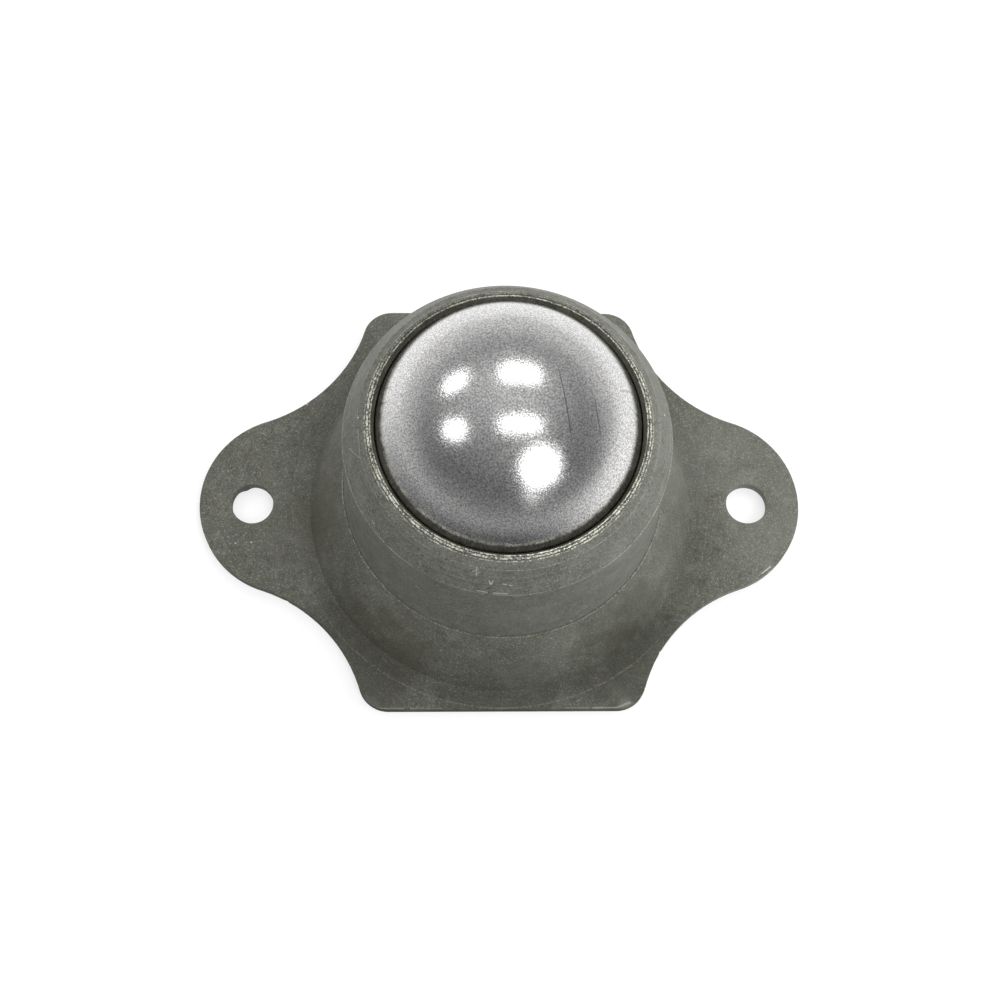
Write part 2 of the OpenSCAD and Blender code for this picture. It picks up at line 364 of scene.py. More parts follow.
def build_soft_patch():
    """A soft uneven patch round a point, in metres."""
    tree, net, given, out = new_group("soft_patch", [
        ("Position", VECTOR, None), ("Middle", VECTOR, (0, 0, 0)), ("Size", FLOAT, 0.004)],
        [("Mask", FLOAT)])
    away = net.vector("DISTANCE", given["Position"], given["Middle"])
    away = net.math("DIVIDE", away, given["Size"])
    rough = net.noise(given["Position"], 260.0, 4.0, 0.65)
    uneven = net.math("MULTIPLY_ADD", net.math("SUBTRACT", rough, 0.5), 1.3, away)
    net.put(out["Mask"], net.fade(uneven, 0.35, 1.05, 1.0, 0.0))
    return tree


def build_wear_and_glint_specks():
    """Sparse light specks, for rubbed places on a coat and for painted glint specks on the ball: Share is
    how many of the cells hold one, Size is a share of a cell.
    """
    tree, net, given, out = new_group("wear_and_glint_specks", [
        ("Position", VECTOR, None), ("Spacing", FLOAT, 700.0), ("Share", FLOAT, 0.15),
        ("Size", FLOAT, 0.16)], [("Mask", FLOAT)])
    cells = net.node("ShaderNodeTexVoronoi", {
        "Vector": given["Position"], "Scale": given["Spacing"]}, feature="F1")
    pick = net.node("ShaderNodeSeparateColor", {"Color": cells.outputs["Color"]}).outputs
    chosen = net.math("LESS_THAN", pick[0], given["Share"])
    size = net.times(given["Size"], net.math("MULTIPLY_ADD", pick[1], 0.8, 0.4))
    dot = net.fade(cells.outputs["Distance"], net.times(size, 0.5), size, 1.0, 0.0)
    net.put(out["Mask"], net.times(dot, chosen))
    return tree


def build_phosphate_coat():
    """Dark grey-green crystal coat: very fine grain of two tints, faint blotches and a slow drift."""
    tree, net, given, out = new_group("phosphate_coat", [
        ("Position", VECTOR, None), ("Tone", COLOR, (0.1, 0.1, 0.09, 1)),
        ("Pale", COLOR, (0.2, 0.2, 0.18, 1)), ("Dark", COLOR, (0.05, 0.05, 0.04, 1)),
        ("Stain", COLOR, (0.1, 0.09, 0.07, 1)), ("Grain", FLOAT, 1.0), ("Blotch", FLOAT, 1.0)],
        [("Color", COLOR), ("Roughness", FLOAT), ("Height", FLOAT)])
    at, grain, blotch = given["Position"], given["Grain"], given["Blotch"]
    fine = net.noise(at, 4300.0, 2.0, 0.8)
    grit = net.noise(at, 2100.0, 3.0, 0.7)
    cloud = net.noise(at, 420.0, 4.0, 0.6)
    drift = net.noise(at, 70.0, 3.0, 0.5)
    tint = net.noise(net.vector("ADD", at, (0.31, 0.17, 0.05)), 1500.0, 3.0, 0.7)
    patch = net.math("SUBTRACT", cloud, 0.5)
    colour = net.blend(net.times(net.fade(tint, 0.44, 0.66), 0.55), given["Tone"], given["Stain"])
    for mask, amount, share, laid in (
        # where, how much is asked for, its share at 1, what is laid over
        (net.fade(fine, 0.50, 0.72), grain, 0.52, "Pale"),
        (net.fade(grit, 0.50, 0.30), grain, 0.38, "Dark"),
        (net.fade(patch, 0.02, 0.18), blotch, 0.16, "Pale"),
        (net.fade(patch, -0.02, -0.18), blotch, 0.22, "Dark"),
        (net.fade(drift, 0.50, 0.68), blotch, 0.10, "Pale"),
    ):
        colour = net.blend(net.times(mask, net.times(amount, share)), colour, given[laid])
    net.put(out["Color"], colour)
    net.put(out["Roughness"], net.fade(grit, 0.3, 0.7, 0.52, 0.64))
    height = net.math("ADD", net.times(fine, 0.8), grit)
    net.put(out["Height"], net.math("MULTIPLY_ADD", cloud, 1.2, height))
    return tree


def build_ball_scratch():
    """A fine line scribed on a ball: where a plane cuts it, along part of the way, in metres."""
    tree, net, given, out = new_group("ball_scratch", [
        ("Position", VECTOR, None), ("Across", VECTOR, (1, 0, 0)), ("Offset", FLOAT, 0.0),
        ("Width", FLOAT, 0.00006), ("Middle", VECTOR, (0, 0, 0)), ("Reach", FLOAT, 0.004)],
        [("Mask", FLOAT)])
    along = net.vector("DOT_PRODUCT", given["Position"], given["Across"])
    off = net.math("ABSOLUTE", net.math("SUBTRACT", along, given["Offset"]))
    line = net.fade(off, net.times(given["Width"], 0.3), given["Width"], 1.0, 0.0)
    away = net.vector("DISTANCE", given["Position"], given["Middle"])
    held = net.fade(away, net.times(given["Reach"], 0.55), given["Reach"], 1.0, 0.0)
    net.put(out["Mask"], net.times(line, held))
    return tree


ring_mark = build_ring_mark()
line_mark = build_line_mark()
turning_lines = build_turning_lines()
soft_patch = build_soft_patch()
wear_and_glint_specks = build_wear_and_glint_specks()
phosphate_coat = build_phosphate_coat()
ball_scratch = build_ball_scratch()


# ---------------------------------------------------------------- finishes

FLANGE_TONE = linear(92, 94, 86)
COVER_TONE = linear(104, 106, 99)
KEEPER_TONE = linear(90, 90, 79)
# pale and dark tones of the coat's grain; the flange's patches also use them as painted light and painted
# shade
PALE_COAT_AND_PAINTED_LIGHT = linear(148, 150, 142)
DARK_COAT_AND_PAINTED_SHADE = linear(62, 62, 53)
STAIN = linear(95, 89, 74)
RUST = linear(104, 84, 66)
# the tone of the dark rings, mostly painted shade
DARK_BAND_TONE = linear(38, 38, 32)
WORN_AND_HIGHLIT_STEEL = linear(238, 237, 222)
BALL_DULL = linear(172, 171, 171)
BALL_LIT = linear(244, 243, 242)
BALL_SPARK = linear(255, 254, 253)
BALL_CLOUD = linear(190, 190, 191)
BALL_SCRIBED = linear(120, 120, 121)
RACE_TONE = linear(150, 150, 150)
BEARING_TONE = linear(205, 205, 208)

COAT_GRAIN = 1.6
COAT_SPECULAR = 0.22
COAT_METALLIC, WORN_AND_HIGHLIT_METALLIC = 0.15, 0.35
WORN_AND_HIGHLIT_ROUGHNESS = 0.36
# how deep each finish's grain stands, in metres
COAT_BUMP, BALL_BUMP, STEEL_BUMP = 0.00003, 0.000016, 0.00001

# all points and lengths in the tables below are in millimetres

# radius, height, width, softness, wobble, break, strength,
# share of the strength at the front and back, share of it on the far side
FLANGE_RINGS = [
    (23.85, 11.9, 0.02, 0.14, 0.15, 1.0, 0.30, 0.6, 1.0),
    (31.97, 1.7, 0.0, 0.20, 0.20, 1.0, 0.05, 2.4, 0.4),
]
COVER_RINGS = [
    (19.25, 36.36, 0.13, 0.12, 0.34, 0.92, 0.95, 0.95, 0.3),
    (19.68, 36.12, 0.03, 0.14, 0.50, 1.0, 0.80, 1.0, 0.4),
    (20.65, 35.3, 0.0, 0.12, 0.12, 1.0, 0.22, 1.0, 1.4),
    (22.9, 31.1, 0.02, 0.16, 0.12, 0.9, 0.55, 0.35, 1.0),
]
KEEPER_RINGS = [(18.84, 36.36, 0.12, 0.12, 0.25, 0.90, 0.95, 1.0, 1.0)]

# radius, height, width, softness, wobble, break, strength
# painted shade: a broad dark band over the groove round the foot's crease
FLANGE_SHADE_RINGS = [(31.0, 1.7, 0.6, 5.0, 1.0, 0.0, 0.12)]
# painted shade on the lip's rounded inner edge, on the cover and on the keeper; the cover also has a
# narrow dark band between its two bright lines
COVER_DARK_RINGS = [(19.47, 36.24, 0.05, 0.12, 0.3, 0.3, 0.55), (19.15, 36.3, 0.25, 0.12, 0.1, 0.0, 0.55)]
KEEPER_SHADE_RINGS = [(18.95, 36.3, 0.25, 0.12, 0.1, 0.0, 0.5)]

# from, to, width, strength
FLANGE_LINES = [
    ((41.2, -10.15, 1.7), (39.9, -11.2, 1.7), 0.15, 0.8),
    # painted highlight: broken bright lines along the plate's eased near edge, where it catches the
    # light, laid in as bare steel
    ((-20.5, -31.93, 1.66), (-14.6, -31.97, 1.66), 0.14, 0.28),
    ((-13.7, -31.97, 1.66), (-9.0, -31.97, 1.66), 0.11, 0.20),
    ((9.2, -31.97, 1.66), (12.9, -31.97, 1.66), 0.11, 0.26),
    ((13.4, -31.97, 1.66), (17.0, -31.95, 1.66), 0.16, 0.34),
    ((17.1, -31.9, 1.7), (18.9, -31.2, 1.7), 0.22, 0.30),
    ((-20.6, -31.2, 1.7), (-19.4, -31.8, 1.7), 0.16, 0.22),
    ((-30.2, 16.4, 1.7), (-30.1, 16.5, 1.7), 0.18, 1.0),
]
COVER_LINES = [
    ((-4.52, -20.13, 35.29), (-4.50, -20.86, 34.0), 0.11, 0.55),
    ((-5.18, -20.56, 34.27), (-4.28, -20.34, 35.05), 0.09, 0.45),
    ((-4.84, -20.74, 34.08), (-4.06, -20.67, 34.53), 0.08, 0.35),
    ((-2.84, -21.5, 33.35), (-2.56, -21.83, 32.81), 0.13, 0.8),
    ((-2.56, -21.83, 32.81), (-2.31, -21.51, 33.47), 0.11, 0.7),
    ((-0.97, -21.83, 33.05), (-0.5, -21.89, 32.97), 0.11, 0.8),
    ((-0.16, -21.92, 32.9), (0.31, -21.99, 32.78), 0.10, 0.75),
    ((-12.74, -19.35, 23.45), (-12.25, -19.66, 23.65), 0.12, 0.9),
    ((-9.76, -20.8, 29.0), (-9.62, -20.86, 29.02), 0.12, 0.6),
    ((-4.4, -22.27, 31.46), (-3.06, -22.52, 31.42), 0.13, 0.5),
    ((-2.13, -22.62, 31.43), (-0.39, -22.72, 31.41), 0.15, 0.6),
    ((-21.7, -2.61, 33.03), (-20.05, -4.91, 35.28), 0.09, 0.5),
    ((-20.45, -0.69, 35.44), (-20.19, -3.84, 35.37), 0.08, 0.35),
    ((-20.54, 1.0, 35.36), (-20.41, 0.96, 35.46), 0.13, 0.9),
    ((-21.31, -8.8, 26.7), (-21.33, -8.79, 26.29), 0.16, 0.9),
    ((-18.53, -12.54, 32.06), (-18.26, -13.07, 31.92), 0.10, 0.6),
]

# middle, size, tint, strength
# most of these patches are painted light and shade; the stains and the rust are real
FLANGE_STAINS_AND_PAINTED_LIGHT = [
    # painted shade: the plate darker on its near side
    ((-24, -28, 1.7), 16, DARK_COAT_AND_PAINTED_SHADE, 0.55),
    ((23, -28, 1.7), 13, DARK_COAT_AND_PAINTED_SHADE, 0.55),
    # painted reflection: the flare darker at its near right
    ((15, -21.5, 6), 8, DARK_COAT_AND_PAINTED_SHADE, 0.24),
    # painted light: the right ear lighter
    ((32, 8, 1.7), 11, PALE_COAT_AND_PAINTED_LIGHT, 0.12),
    # painted shade: the plate darker at the middle of its near edge and on its left
    ((0, -31, 1.5), 11, DARK_COAT_AND_PAINTED_SHADE, 0.30),
    ((-33, -4, 1.7), 9, DARK_COAT_AND_PAINTED_SHADE, 0.20),
    # painted light: the right ear and the right of the flare lighter
    ((42, 0, 1.7), 13, PALE_COAT_AND_PAINTED_LIGHT, 0.14),
    ((28, 8, 5.0), 10, PALE_COAT_AND_PAINTED_LIGHT, 0.05),
    # stains and rust
    ((-15, -22, 6.0), 7, STAIN, 0.28),
    ((-20, -19, 4.5), 5, RUST, 0.08),
    # painted reflection: a light patch on the flare's near side
    ((8.0, -23.9, 9.0), 4, PALE_COAT_AND_PAINTED_LIGHT, 0.10),
    # painted reflection: the flare darker at its near right
    ((20, -18.5, 6.5), 8, DARK_COAT_AND_PAINTED_SHADE, 0.42),
    # a stain
    ((-26, -3, 5.0), 8, STAIN, 0.35),
    # painted highlights where the near edge's corners catch the light
    ((18.3, -31.5, 1.7), 1.6, PALE_COAT_AND_PAINTED_LIGHT, 0.24),
    ((-19.6, -31.6, 1.7), 1.7, PALE_COAT_AND_PAINTED_LIGHT, 0.12),
]

# across the line, a point on it, reach, width, depth
BALL_SCRATCHES = [
    ((0.97, 0.19, -0.15), (6.9, -1.6, 47.5), 5.6, 0.12, 0.85),
    ((0.98, 0.14, 0.10), (11.2, -2.6, 45.0), 3.0, 0.12, 0.6),
    ((0.55, -0.83, 0.05), (15.8, 3.0, 40.0), 2.6, 0.2, 0.5),
    ((0.45, 0.88, 0.10), (16.6, 0.5, 39.0), 2.2, 0.2, 0.4),
    ((0.35, 0.93, 0.10), (-17.0, 2.0, 37.8), 2.4, 0.2, 0.5),
    ((0.15, 0.98, 0.10), (-16.4, 4.0, 38.4), 2.0, 0.2, 0.45),
]


def new_finish(name):
    """A material with a Principled shader; returns (material, net, shader, object position)."""
    made = bpy.data.materials.new(name)
    made.use_nodes = True
    made.node_tree.nodes.clear()
    net = Net(made.node_tree)
    shader = net.node("ShaderNodeBsdfPrincipled")
    net.node("ShaderNodeOutputMaterial", {"Surface": shader.outputs[0]})
    return made, net, shader, net.node("ShaderNodeTexCoord").outputs["Object"]


def bump(net, shader, height, distance, strength=1.0):
    made = net.node("ShaderNodeBump", {"Height": height, "Distance": distance, "Strength": strength})
    net.put(shader.inputs["Normal"], made.outputs[0])


def ring(net, at, radius, height, width, softness, wobble, broken):
    return use(net, ring_mark, {
        "Position": at, "Radius": radius * MM, "Height": height * MM, "Width": width * MM,
        "Softness": softness * MM, "Wobble": wobble * MM, "Break": broken})["Mask"]


def worn_and_highlit_places(net, at, rings, lines):
    """Where the coat is rubbed through to steel, and where a painted highlight on an edge is laid in as
    bright steel: a few specks, the rings and the lines.
    """
    specks = use(net, wear_and_glint_specks, {"Position": at, "Spacing": 420.0, "Share": 0.05, "Size": 0.10})
    worn_and_highlit = net.times(specks["Mask"], 0.5)
    spot = net.parts(at)
    beside = net.math("ABSOLUTE", spot["X"])
    for radius, height, width, softness, wobble, broken, strength, front, far in rings:
        mask = ring(net, at, radius, height, width, softness, wobble, broken)
        kept = net.fade(beside, radius * 0.45 * MM, radius * 0.9 * MM, strength * front, strength)
        kept = net.times(kept, net.fade(spot["Y"], 0.2 * radius * MM, 0.7 * radius * MM, 1.0, far))
        worn_and_highlit = net.math("MAXIMUM", worn_and_highlit, net.times(mask, kept))
    for start, end, width, strength in lines:
        mask = use(net, line_mark, {
            "Position": at, "From": metres(start), "To": metres(end),
            "Width": width * MM, "Break": 0.6})["Mask"]
        worn_and_highlit = net.math("MAXIMUM", worn_and_highlit, net.times(mask, strength * 0.7))
    return worn_and_highlit


def coated(name, tone, rings, dark_rings, lines=(), patches=(), blotch=1.0, turned=0.0):
    """Phosphated steel with soft patches (stains, painted light and painted shade), dark rings (mostly
    painted shade), turning lines and places rubbed through to bright steel, some of them painted
    highlights.
    """
    made, net, shader, at = new_finish(name)
    coat = use(net, phosphate_coat, {
        "Position": at, "Tone": tone, "Pale": PALE_COAT_AND_PAINTED_LIGHT, "Dark": DARK_COAT_AND_PAINTED_SHADE, "Stain": STAIN,
        "Grain": COAT_GRAIN, "Blotch": blotch})
    colour = coat["Color"]
    if turned:
        left = use(net, turning_lines, {"Position": at})
        colour = net.blend(net.times(left["Light"], turned), colour, PALE_COAT_AND_PAINTED_LIGHT)
        colour = net.blend(net.times(left["Dark"], turned), colour, DARK_COAT_AND_PAINTED_SHADE)
    # patches: stains and rust, and painted light and shade
    for middle, size, tint, strength in patches:
        mask = use(net, soft_patch, {
            "Position": at, "Middle": metres(middle), "Size": size * MM})["Mask"]
        colour = net.blend(net.times(mask, strength), colour, tint)
    # dark rings: painted shade in the flange's crease groove and on the lip's inner edge, and a dark band
    # between the lip's bright lines
    for radius, height, width, softness, wobble, broken, strength in dark_rings:
        mask = ring(net, at, radius, height, width, softness, wobble, broken)
        colour = net.blend(net.times(mask, strength), colour, DARK_BAND_TONE)
    worn_and_highlit = worn_and_highlit_places(net, at, rings, lines)
    # bare steel where rubbed through, and painted highlights along the flange's near edge
    net.put(shader.inputs["Base Color"], net.blend(worn_and_highlit, colour, WORN_AND_HIGHLIT_STEEL))
    net.put(shader.inputs["Roughness"], net.mix(worn_and_highlit, coat["Roughness"], WORN_AND_HIGHLIT_ROUGHNESS))
    net.put(shader.inputs["Metallic"], net.mix(worn_and_highlit, COAT_METALLIC, WORN_AND_HIGHLIT_METALLIC))
    shader.inputs["Specular IOR Level"].default_value = COAT_SPECULAR
    bump(net, shader, net.math("MULTIPLY_ADD", worn_and_highlit, -0.8, coat["Height"]), COAT_BUMP, 0.55)
    return made


def ball_finish():
    """Satin ground steel: a fine bright and dark grain, painted sparkle and glint specks, and a few
    scribed lines.
    """
    made, net, shader, at = new_finish("satin_ball_steel")
    fine = net.noise(at, 4600.0, 2.0, 0.7)
    coarse = net.noise(at, 3000.0, 2.0, 0.6)
    cloud = net.noise(at, 260.0, 3.0, 0.55)
    tone = net.blend(net.fade(fine, 0.38, 0.62), BALL_DULL, BALL_LIT)
    # painted sparkle: near-white flecks in the steel's colour
    tone = net.blend(net.times(net.fade(coarse, 0.58, 0.68), 0.8), tone, BALL_SPARK)
    tone = net.blend(net.times(net.fade(cloud, 0.62, 0.36), 0.15), tone, BALL_CLOUD)
    # painted glint specks: white dots in the steel's colour
    painted_glints = use(net, wear_and_glint_specks, {"Position": at, "Spacing": 1400.0, "Share": 0.34, "Size": 0.24})
    tone = net.blend(net.times(painted_glints["Mask"], 0.85), tone, WHITE)
    marks = 0.0
    for across, middle, reach, width, depth in BALL_SCRATCHES:
        across = Vector(across).normalized()
        mask = use(net, ball_scratch, {
            "Position": at, "Across": across, "Offset": across.dot(Vector(middle)) * MM,
            "Width": width * MM, "Middle": metres(middle), "Reach": reach * MM})["Mask"]
        marks = net.math("MAXIMUM", marks, net.times(mask, depth))
    net.put(shader.inputs["Base Color"], net.blend(marks, tone, BALL_SCRIBED))
    shader.inputs["Metallic"].default_value = 1.0
    net.put(shader.inputs["Roughness"], net.fade(cloud, 0.3, 0.7, 0.165, 0.195))
    bump(net, shader, fine, BALL_BUMP)
    return made


def steel_finish(name, tone, rough):
    """Plain steel for the pieces inside, slightly clouded."""
    made, net, shader, at = new_finish(name)
    cloud = net.noise(at, 600.0, 3.0, 0.6)
    share = net.fade(cloud, 0.3, 0.7)
    darker = tuple(c * 0.8 for c in tone[:3]) + (1.0,)
    net.put(shader.inputs["Base Color"], net.blend(share, tone, darker))
    shader.inputs["Metallic"].default_value = 1.0
    net.put(shader.inputs["Roughness"], net.fade(cloud, 0.3, 0.7, rough, rough + 0.08))
    bump(net, shader, cloud, STEEL_BUMP, 0.3)
    return made


def dress(name, finish):
    """A CAD node that is shown as it is, in a new finish."""
    mesh = nodes[name].data
    mesh.materials.clear()
    mesh.materials.append(finish)


# ---------------------------------------------------------------- turned pieces

# the turn about Z at which a section is cut
SECTION_TURN = math.radians(3.3)
TURN_STEPS = 400
# in metres: how near two points of the turned shell count as one, which closes its seams
CLOSE_WITHIN = 0.0000005
LIP_BLEND = 0.6 * MM
LIP_UNEVENNESS = 0.10 * MM
LIP_RIPPLE = 1400.0
MOUTH_DRAWN_OVER = 0.25 * MM
SHARP_PAST = math.radians(40.0)


def section_of(name, longest):
    """The closed section of a turned CAD node: (radius, height) points, no step over longest."""
    cut = bmesh.new()
    cut.from_mesh(nodes[name].data)
    bmesh.ops.remove_doubles(cut, verts=cut.verts, dist=1e-6)
    across = (-math.sin(SECTION_TURN), math.cos(SECTION_TURN), 0)
    found = bmesh.ops.bisect_plane(cut, geom=cut.verts[:] + cut.edges[:] + cut.faces[:],
                                   plane_co=(0, 0, 0), plane_no=across, dist=1e-8)["geom_cut"]
    joins = {}
    for edge in found:
        if isinstance(edge, bmesh.types.BMEdge) and all(v.co.x > 0 for v in edge.verts):
            one, two = edge.verts
            joins.setdefault(one, []).append(two)
            joins.setdefault(two, []).append(one)
    start = next(iter(joins))
    loop, last = [start], None
    while True:
        here = loop[-1]
        step = [v for v in joins[here] if v is not last]
        if not step or step[0] is start:
            break
        last = here
        loop.append(step[0])
    points = [(math.hypot(v.co.x, v.co.y), v.co.z) for v in loop]
    cut.free()
    fine = []
    for (r0, z0), (r1, z1) in zip(points, points[1:] + points[:1]):
        parts = max(1, math.ceil(math.hypot(r1 - r0, z1 - z0) / longest))
        fine += [(r0 + (r1 - r0) * k / parts, z0 + (z1 - z0) * k / parts) for k in range(parts)]
    return fine


def build_turned_shell():
    """Geometry nodes: turns a list of section points about Z and ripples the part above a height."""
    tree, net, given, out = new_group("turned_shell", [
        ("Section", GEOMETRY, None), ("Section points", WHOLE, 8), ("Steps round", WHOLE, 240),
        ("Uneven above", FLOAT, 0.03), ("Uneven blend", FLOAT, 0.0004), ("Unevenness", FLOAT, 0.00005),
        ("Ripple scale", FLOAT, 900.0), ("Seed", FLOAT, 1.0), ("Finish", MATERIAL, None)],
        [("Geometry", GEOMETRY)], "GeometryNodeTree")
    across = net.math("ADD", given["Section points"], 1.0)
    around = net.math("ADD", given["Steps round"], 1.0)
    grid = net.node("GeometryNodeMeshGrid", {"Vertices X": around, "Vertices Y": across})
    index = net.node("GeometryNodeInputIndex").outputs[0]
    turned = net.math("FLOOR", net.math("DIVIDE", net.math("ADD", index, 0.5), across))
    along = net.math("SUBTRACT", index, net.times(turned, across))
    which = net.math("FLOORED_MODULO", net.math("ROUND", along), given["Section points"])
    sample = net.node("GeometryNodeSampleIndex", {"Geometry": given["Section"]},
                      data_type="FLOAT_VECTOR", domain="POINT")
    net.put(sample.inputs["Value"], net.node("GeometryNodeInputPosition").outputs[0])
    net.put(sample.inputs["Index"], which)
    point = net.parts(sample.outputs[0])
    angle = net.times(net.math("DIVIDE", turned, given["Steps round"]), math.tau)
    even = net.joined(X=net.times(point["X"], net.math("COSINE", angle)),
                      Y=net.times(point["X"], net.math("SINE", angle)), Z=point["Z"])
    shift = net.joined(X=given["Seed"], Y=given["Seed"])
    ripple = net.node("ShaderNodeTexNoise", {
        "Vector": net.vector("ADD", even, shift), "Scale": given["Ripple scale"],
        "Detail": 3.0, "Roughness": 0.6}).outputs["Color"]
    push = net.vector("SUBTRACT", ripple, (0.5, 0.5, 0.5))
    full = net.math("ADD", given["Uneven above"], given["Uneven blend"])
    share = net.fade(point["Z"], given["Uneven above"], full)
    push = net.vector("SCALE", push, scale=net.times(share, given["Unevenness"]))
    moved = net.node("GeometryNodeSetPosition", {
        "Geometry": grid.outputs["Mesh"], "Position": net.vector("ADD", even, push)})
    welded = net.node("GeometryNodeMergeByDistance", {
        "Geometry": moved.outputs[0], "Distance": CLOSE_WITHIN})
    real = net.node("GeometryNodeRealizeInstances", {"Geometry": welded.outputs[0]})
    done = net.node("GeometryNodeSetMaterial", {"Geometry": real.outputs[0], "Material": given["Finish"]})
    net.put(out["Geometry"], done.outputs[0])
    return tree


def build_ball_ring():
    """Geometry nodes: a bearing ball on each point of the mesh it is given."""
    tree, net, given, out = new_group("ball_ring", [
        ("Geometry", GEOMETRY, None), ("Ball radius", FLOAT, 0.002), ("Finish", MATERIAL, None)],
        [("Geometry", GEOMETRY)], "GeometryNodeTree")
    ball = net.node("GeometryNodeMeshIcoSphere", {"Radius": given["Ball radius"], "Subdivisions": 2})
    smooth = net.node("GeometryNodeSetShadeSmooth", {"Geometry": ball.outputs["Mesh"]})
    balls = net.node("GeometryNodeInstanceOnPoints", {
        "Points": given["Geometry"], "Instance": smooth.outputs[0]})
    real = net.node("GeometryNodeRealizeInstances", {"Geometry": balls.outputs[0]})
    done = net.node("GeometryNodeSetMaterial", {"Geometry": real.outputs[0], "Material": given["Finish"]})
    net.put(out["Geometry"], done.outputs[0])
    return tree


def grown(name, tree, points, values):
    """A plain mesh object grown by a geometry node tree from a list of points."""
    seed_mesh = bpy.data.meshes.new(name + "_points")
    seed_mesh.from_pydata(points, [], [])
    maker = link(bpy.data.objects.new(name + "_maker", seed_mesh))
    modifier = maker.modifiers.new("grow", "NODES")
    modifier.node_group = tree
    for socket in tree.interface.items_tree:
        if socket.in_out == "INPUT" and socket.name in values:
            modifier[socket.identifier] = values[socket.name]
    bpy.context.view_layer.update()
    ready = maker.evaluated_get(bpy.context.evaluated_depsgraph_get())
    mesh = bpy.data.meshes.new_from_object(ready)
    maker.modifiers.remove(modifier)
    bpy.data.objects.remove(maker)
    return link(bpy.data.objects.new(name, mesh))


def smooth_outward(mesh):
    """Faces pointing outwards, shaded smooth but for sharp edges."""
    shape = bmesh.new()
    shape.from_mesh(mesh)
    bmesh.ops.recalc_face_normals(shape, faces=shape.faces)
    for face in shape.faces:
        face.smooth = True
    for edge in shape.edges:
        edge.smooth = edge.calc_face_angle(0.0) < SHARP_PAST
    shape.to_mesh(mesh)
    shape.free()


def drawn_in(section, mouth):
    """The section with its innermost points drawn in to the mouth's radius."""
    least = min(r for r, z in section)
    pull = least - mouth
    return [(r - pull * max(0.0, 1 - (r - least) / MOUTH_DRAWN_OVER), z) for r, z in section]


def turned_piece(name, node, tree, finish, longest, uneven_above, seed, mouth=None):
    """A turned piece grown from its section, rippled above a height and drawn in to a mouth radius."""
    section = section_of(node, longest)
    if mouth:
        section = drawn_in(section, mouth)
    made = grown(name, tree, [(r, 0.0, z) for r, z in section], {
        "Section points": len(section), "Steps round": TURN_STEPS, "Uneven above": uneven_above,
        "Uneven blend": LIP_BLEND, "Unevenness": LIP_UNEVENNESS, "Ripple scale": LIP_RIPPLE,
        "Seed": seed, "Finish": finish})
    smooth_outward(made.data)
    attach(made, "housing")
    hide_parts(node)


# ---------------------------------------------------------------- flange

HOLE_HALF_PITCH = 38.1 * MM
HOLE_RADIUS = 3.175 * MM
# in metres: how near a point counts as on the hole's wall, and two points as one
HOLE_WALL_WITHIN = 0.00002
WELD_WITHIN = 0.000002
FLAT_WITHIN = math.radians(0.05)
EDGE_EASE = 0.15 * MM
EDGE_STEPS = 3
EDGE_SHARPER_THAN = math.radians(50)

# the burr's middle and half its reach round the hole in degrees, how far it stands in, its top
BURR_AT, BURR_REACH = 112.0, 22.0
BURR_HEIGHT = 0.32 * MM
BURR_BELOW = 1.2 * MM

# x, y, how far the outline is moved along x, in millimetres
NICKS = [(-32.7, -15.1, 0.22), (23.2, -23.3, -0.26), (21.0, -29.2, -0.16)]
# where the outline is cut beside a nick, in millimetres along y
NICK_CUTS = (-0.5, 0.0, 0.35)
NICK_NEAR = 3 * MM
NICK_REACH = 1.6 * MM
NICK_BELOW = 1.8 * MM


def nick(shape, place, depth):
    """Cuts the outline's edges at a place and moves it along x there by a little."""
    near = [f for f in shape.faces if any((v.co.xy - place.xy).length < NICK_NEAR for v in f.verts)]
    geometry = set(near) | {e for f in near for e in f.edges} | {v for f in near for v in f.verts}
    for step in NICK_CUTS:
        kept = [g for g in geometry if g.is_valid]
        through = place + Vector((0, step * MM, 0))
        cut = bmesh.ops.bisect_plane(shape, geom=kept, dist=1e-8, plane_co=through, plane_no=(0, 1, 0))
        geometry |= set(cut["geom"])
    for v in shape.verts:
        near_place = abs(v.co.y - place.y) < 1e-6 and (v.co.xy - place.xy).length < NICK_REACH
        if near_place and v.co.z < NICK_BELOW:
            v.co.x += depth


def raise_burr(shape):
    """A burr in the left hole: it stands in from the hole's wall over part of the turn."""
    for v in shape.verts:
        x, y = v.co.x + HOLE_HALF_PITCH, v.co.y
        if math.hypot(x, y) < HOLE_RADIUS + HOLE_WALL_WITHIN and v.co.z < BURR_BELOW:
            apart = abs(math.degrees(math.atan2(y, x)) - BURR_AT)
            if apart < BURR_REACH:
                pull = BURR_HEIGHT * (1 - apart / BURR_REACH)
                v.co.x -= x / HOLE_RADIUS * pull
                v.co.y -= y / HOLE_RADIUS * pull


def flange_piece(finish):
    """The pressed flange: punched edges eased, a burr in one hole and small nicks in the outline."""
    shape = bmesh.new()
    shape.from_mesh(nodes["base_flange"].data)
    bmesh.ops.remove_doubles(shape, verts=shape.verts, dist=WELD_WITHIN)
    bmesh.ops.dissolve_limit(shape, angle_limit=FLAT_WITHIN, verts=shape.verts[:], edges=shape.edges[:])
    bmesh.ops.triangulate(shape, faces=[f for f in shape.faces if len(f.verts) > 4])
    bmesh.ops.recalc_face_normals(shape, faces=shape.faces)
    raise_burr(shape)
    for x, y, depth in NICKS:
        nick(shape, Vector((x, y, 0)) * MM, depth * MM)
    for face in shape.faces:
        face.smooth = True
    mesh = bpy.data.meshes.new("flange_plate")
    shape.to_mesh(mesh)
    shape.free()
    mesh.materials.append(finish)
    made = link(bpy.data.objects.new("flange_plate", mesh))
    ease = made.modifiers.new("eased_edges", "BEVEL")
    ease.width, ease.segments = EDGE_EASE, EDGE_STEPS
    ease.limit_method, ease.angle_limit = "ANGLE", EDGE_SHARPER_THAN
    ease.harden_normals = True
    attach(made, "housing")
    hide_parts("base_flange")


# ---------------------------------------------------------------- bearing balls

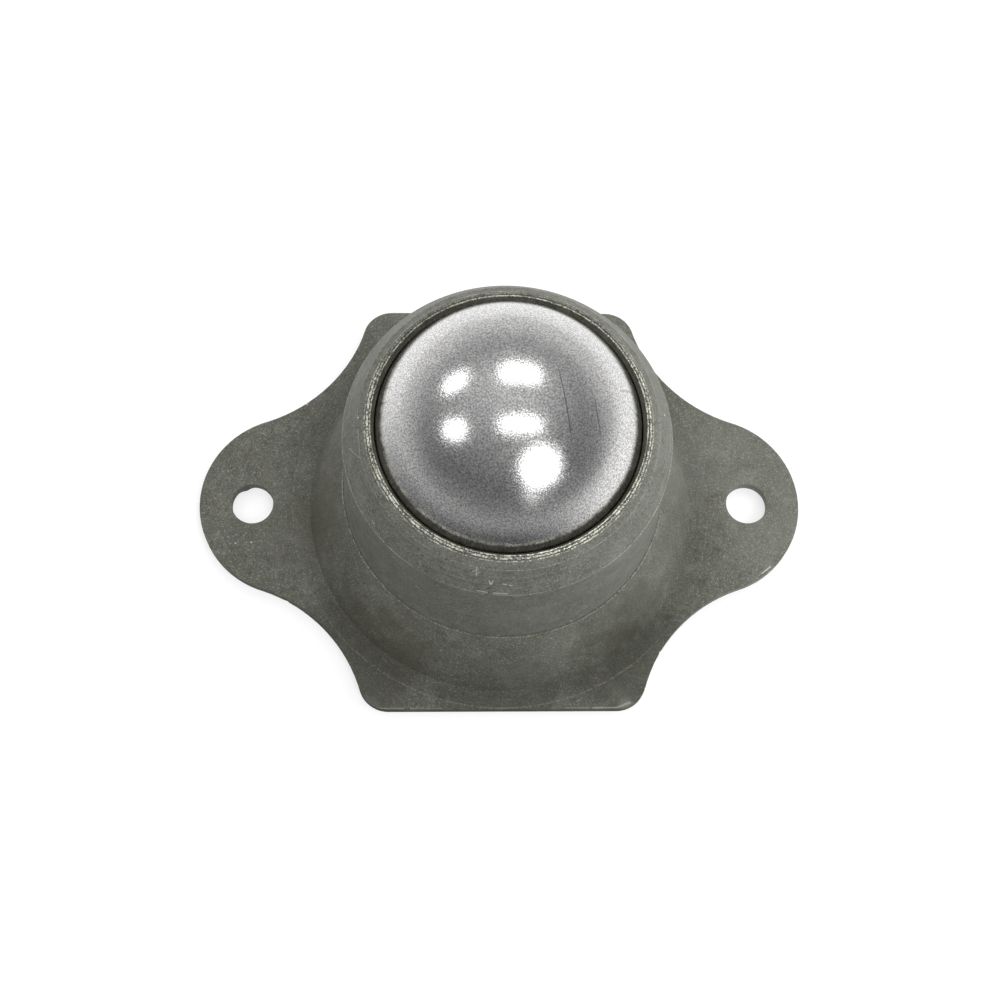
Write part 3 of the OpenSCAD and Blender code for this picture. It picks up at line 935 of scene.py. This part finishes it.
ROW_COUNTS = {
    "support_ball_centre": 1,
    "support_balls_row_1": 6,
    "support_balls_row_2": 12,
    "support_balls_row_3": 17,
    "support_balls_row_4": 22,
    "support_balls_row_5": 27,
    "support_balls_row_6": 30,
}


def bearing_balls(tree, finish):
    """Every bearing ball under the load ball as one mesh, because they all turn with one body."""
    low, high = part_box("support_ball_centre")
    ball_radius, bed = (high.z - low.z) / 2, BALL_CENTRE.z - (high.z + low.z) / 2
    places = []
    for row, (node, count) in enumerate(ROW_COUNTS.items()):
        low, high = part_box(node)
        height = (high.z + low.z) / 2
        ring_radius = math.sqrt(max(0.0, bed ** 2 - (BALL_CENTRE.z - height) ** 2))
        for i in range(count):
            turn = (i + (row % 2) / 2) * math.tau / count
            places.append((ring_radius * math.cos(turn), ring_radius * math.sin(turn), height))
    made = grown("bearing_balls", tree, places, {"Ball radius": ball_radius, "Finish": finish})
    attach(made, "ball_bed")
    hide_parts(*ROW_COUNTS)


# ---------------------------------------------------------------- the whole

make_camera()
make_lamps()
make_room()
make_floor()

flange_finish = coated("phosphated_flange", FLANGE_TONE, FLANGE_RINGS, FLANGE_SHADE_RINGS,
                       lines=FLANGE_LINES, patches=FLANGE_STAINS_AND_PAINTED_LIGHT)
cover_finish = coated("phosphated_cover", COVER_TONE, COVER_RINGS, COVER_DARK_RINGS,
                      lines=COVER_LINES, turned=0.2)
keeper_finish = coated("worn_keeper_steel", KEEPER_TONE, KEEPER_RINGS, KEEPER_SHADE_RINGS,
                       blotch=1.5, turned=0.25)

turned_shell = build_turned_shell()
flange_piece(flange_finish)
turned_piece("drawn_cover", "cover", turned_shell, cover_finish,
             longest=0.35 * MM, uneven_above=35.6 * MM, seed=0.37)
turned_piece("rolled_keeper_ring", "keeper_ring", turned_shell, keeper_finish,
             longest=0.30 * MM, uneven_above=35.5 * MM, seed=0.81, mouth=18.36 * MM)
dress("load_ball", ball_finish())
dress("race_cup", steel_finish("hardened_race_steel", RACE_TONE, 0.3))
bearing_balls(build_ball_ring(), steel_finish("bearing_ball_steel", BEARING_TONE, 0.12))

bpy.context.scene.view_settings.view_transform = "Standard"
